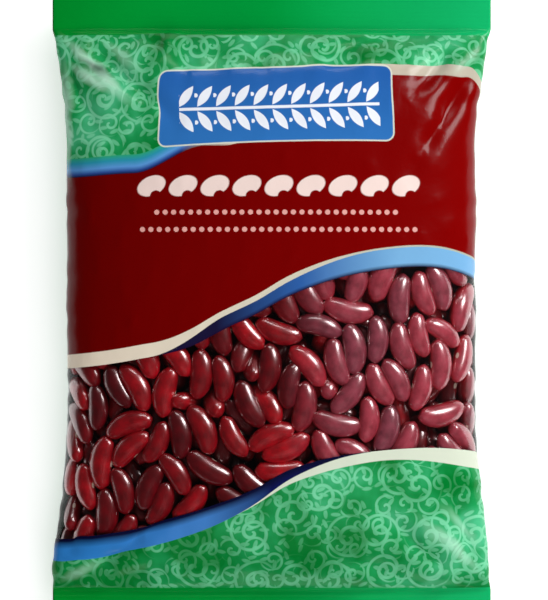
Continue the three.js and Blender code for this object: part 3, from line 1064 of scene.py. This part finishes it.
def print_colours(add, position, x, y):
    """All the inks of the web, laid over each other from the ground up."""
    across = add("MapRange", (x, -60, 60))
    upper = wave_blue(add, across, ((0.35, "1a1638"), (0.58, "2f5fa6"), (0.85, "78b0dc")), "1c1034", 0, 1.4)
    lower = wave_blue(add, across, ((0, "2f80cc"), (0.32, "3f7fc8"), (0.5, "0c1250")), "0a0c30", 0.8, 3.4)
    # Painted shading: the red is darker on the left and lighter on the right, as if lit from the right
    red_light_across = add("MapRange", (x, -75, 70))
    red = add("ValToRGB", (red_light_across,), ((0, "680100"), (0.4, "720101"), (1, "800101")))
    up_panel = add("MapRange", (y, 58, 80))
    panel = add("Mix", (up_panel, colour("2f72ba"), colour("2560ac")))
    cream = add("Mix", (across, colour("f6e6d0"), colour("b4b8a6")))
    above = add("Math GREATER_THAN", (y, BETWEEN_WAVES))
    below = add("Math LESS_THAN", (y, BETWEEN_WAVES))
    ink = green_ground(add, position, y)
    ink = inked(add, ink, "rim", red_rim(add, across, x))
    ink = inked(add, ink, "red", red)
    ink = inked(add, ink, "panel_rim", colour("d8dccc"))
    ink = inked(add, ink, "panel", panel)
    motifs = [(garland(add, x, y), "eef2fa"), (kidney_row(add, x, y), "f4dcd4")]
    motifs += [(bead_row(add, x, y, row, height), "e8a8a0") for row, height in BEAD_ROWS]
    for motif, code in motifs:
        ink = add("Mix", (motif, ink, colour(code)))
    ink = inked(add, ink, "cream_above", cream, above)
    ink = inked(add, ink, "blue_above", upper, above)
    ink = inked(add, ink, "cream_below", colour("d8e0cc"), below)
    ink = inked(add, ink, "blue_below", lower, below)
    ink = inked(add, ink, "back", colour("1d8f4a"))
    ink = inked(add, ink, "label", colour("ece6d8"))
    return inked(add, ink, "seal", seal_green(add, x))


def printed_film_material():
    """Reverse-printed polypropylene film: the inks lie under a clear glossy layer, so colour stays deep and
    the shine is sharp. Its inside face is painted dark, a painted shade for the shadow within the bag."""
    material, add = new_material("reverse_printed_polypropylene")
    position, x, y = web_position(add)
    # Painted highlights on the creases' crests and painted shade in their valleys go over the print
    ink = painted_crease_light_and_shade(add, position, print_colours(add, position, x, y))
    # Painted shade: the film's inside face is darkened as the bag's shadowed interior would be
    side = add("NewGeometry")
    inner_side_shade = add("MapRange", (side.outputs["Backfacing"], 0, 1, 1, 0.15))
    ink = add("Mix", (1.0, ink, inner_side_shade), blend_type="MULTIPLY")
    film = {"Base Color": ink, "Roughness": 0.2, "IOR": 1.5, "Specular IOR Level": 0.16}
    surface = add("BsdfPrincipled", {**film, "Normal": waviness(add, position)})
    add("OutputMaterial", (surface,))
    return material


def clear_film_material():
    """Unprinted polypropylene film: clear, faintly milky, and as glossy as the printed part."""
    material, add = new_material("clear_polypropylene")
    ripple = waviness(add, web_position(add)[0])
    facing = add("LayerWeight", {"Blend": 0.5, "Normal": ripple})
    grazing = add("Math POWER", (facing.outputs["Facing"], 5))
    share = add("MapRange", (grazing, 0, 1, 0.03, 1))
    clear = add("BsdfTransparent", {"Color": (0.98, 0.98, 0.98, 1)})
    haze = add("BsdfAnisotropic", {"Color": colour("f4dde8"), "Roughness": 0.5})
    veiled = add("MixShader", (0.004, clear, haze))
    shine = add("BsdfAnisotropic", {"Color": (1, 1, 1, 1), "Roughness": 0.16, "Normal": ripple})
    surface = add("MixShader", (share, veiled, shine))
    add("OutputMaterial", (surface,))
    return material


def scarred(add, place, skin):
    """A bean's skin with the pale scar on its hollow side."""
    from_scar = add("VectorMath SUBTRACT", (place, (BEAN_WIDTH / 2 - 0.9, 0, 0)))
    shape = add("VectorMath MULTIPLY", (from_scar, (0.5, 1.2, 0.7)))
    size = add("VectorMath LENGTH", (shape,))
    scar = add("MapRange", (size, 0.75, 0.9, 1, 0))
    return add("Mix", (scar, skin, colour("d9c2b0")))


def bean_material():
    """Dried kidney bean: a hard polished seed coat, dark red with faint darker streaks and a pale scar. A
    painted pinkish sheen pales the beans' outer parts at the right, and painted shade darkens the beans that
    lie deeper."""
    material, add = new_material("polished_bean_skin")
    place = add("Attribute", attribute_name="bean_place").outputs["Vector"]
    tone = add("Attribute", attribute_name="bean_tone").outputs["Fac"]
    depth = add("Attribute", attribute_name="bean_depth").outputs["Fac"]
    skin = add("ValToRGB", (tone,), ((0, "58000a"), (1, "b40616")))
    moved = add("VectorMath ADD", (place, tone))
    mottle = add("TexNoise", {"Vector": moved, "Scale": SKIN_STREAKS, "Detail": 4, "Roughness": 0.6})
    streaks = add("MapRange", (mottle, 0.35, 0.7, 0.55, 1.15))
    mottled = add("Mix", (1.0, skin, streaks), blend_type="MULTIPLY")
    marked = scarred(add, place, mottled)
    # Painted shade: beans are painted darker the deeper they lie under the film, and this shade is lighter
    # towards the right
    in_bag = add("TexCoord")
    across = add("SeparateXYZ", (in_bag.outputs["Object"],))
    darkest = add("MapRange", (across, -20 * MM, 24 * MM, 0.12, 0.5))
    shade = add("MapRange", (depth, 0.3, 1, 1, darkest))
    shaded = add("Mix", (1.0, marked, shade), blend_type="MULTIPLY")
    # Painted sheen: the outer parts of the beans at the right are paled pink, standing in for a soft
    # reflection there
    to_right = add("MapRange", (across, 4 * MM, 24 * MM))
    near_film = add("MapRange", (depth, 0.05, 0.42, 0.46, 0))
    painted_sheen = add("Math MULTIPLY", (near_film, to_right))
    patchy_sheen = add("Math MULTIPLY", (painted_sheen, streaks))
    sheened = add("Mix", (patchy_sheen, shaded, colour("b85c70")))
    grain = add("TexNoise", {"Vector": moved, "Scale": SKIN_GRAIN, "Detail": 2})
    bump = add("Bump", {"Height": grain, "Strength": 0.2, "Distance": 0.15 * MM})
    skin_shine = {"Roughness": 0.36, "IOR": 1.5, "Specular IOR Level": 1.0, "Specular Tint": colour("ffc8cc")}
    polish = {"Coat Weight": 1.0, "Coat Roughness": 0.2, "Coat IOR": 2.0}
    surface = add("BsdfPrincipled", {"Base Color": sheened, "Normal": bump, **skin_shine, **polish})
    add("OutputMaterial", (surface,))
    return material


def floor():
    """A white table top under the bag, lit from below so that it stays white round the dark bag."""
    bpy.ops.mesh.primitive_plane_add(size=4)
    table = bpy.context.active_object
    table.name = table.data.name = "floor"
    material, add = new_material("white_light_table")
    glow = {"Emission Color": (1, 1, 1, 1), "Emission Strength": 0.55}
    surface = add("BsdfPrincipled", {"Base Color": colour("e8e8e8"), "Roughness": 0.7, **glow})
    add("OutputMaterial", (surface,))
    table.data.materials.append(material)


def softbox(name, place, wide, high, watts, mirrored=True):
    """A rectangular studio light that faces the bag. A fill light isn't mirrored in the film."""
    lamp = bpy.data.lights.new(name, "AREA")
    lamp.shape = "RECTANGLE"
    lamp.size, lamp.size_y = wide, high
    lamp.energy = watts
    holder = placed(name, lamp)
    holder.location = place
    holder.rotation_euler = (Vector((0, 0, 0.02)) - Vector(place)).to_track_quat("-Z", "Y").to_euler()
    holder.visible_glossy = mirrored


def lights():
    """A window at the upper right for the beans' streaks, a box for the shoulders' shine, and a soft fill."""
    softbox("window_box", (0.65, 0.51, 0.6), 0.4, 0.4, 7)
    softbox("top_box", (0.1, 0.9, 0.6), 0.5, 0.12, 1.6)
    softbox("fill", (0.2, -0.8, 1.2), 1.2, 1.2, 15, mirrored=False)
    world = bpy.data.worlds.new("pale_room")
    world.use_nodes = True
    air = world.node_tree.nodes["Background"].inputs
    air["Color"].default_value = (1, 1, 1, 1)
    air["Strength"].default_value = 0.02
    bpy.context.scene.world = world


def camera():
    """Straight above the bag, framed so that both end seals run out of the picture."""
    height = 1.3
    middle = (0.8 * MM, 3.4 * MM)
    seen_high = 205.5 * MM
    lens = bpy.data.cameras.new("camera")
    lens.sensor_fit = "VERTICAL"
    lens.sensor_height = 24
    lens.lens = lens.sensor_height * height / seen_high
    holder = placed("camera", lens)
    holder.location = (middle[0], middle[1], SEAL_HEIGHT * MM + height)
    bpy.context.scene.camera = holder


def build():
    """The beans, the film over them, their finishes, and what rides on what."""
    beans = beans_in_bag(packed_beans())
    film, window, points, along = film_pieces(beans)
    fin = fin_seal(points, along)
    finishes = ((beans, bean_material(), "beans"), (window, clear_film_material(), "clear_film"))
    for piece, material, slot in finishes:
        piece.data.materials.append(material)
        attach(piece, "root")
    printed = printed_film_material()
    for piece in (film, fin):
        piece.data.materials.append(printed)
        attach(piece, "root")
    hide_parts(BAG)


camera()
floor()
lights()
build()
bpy.context.scene.view_settings.view_transform = "Standard"
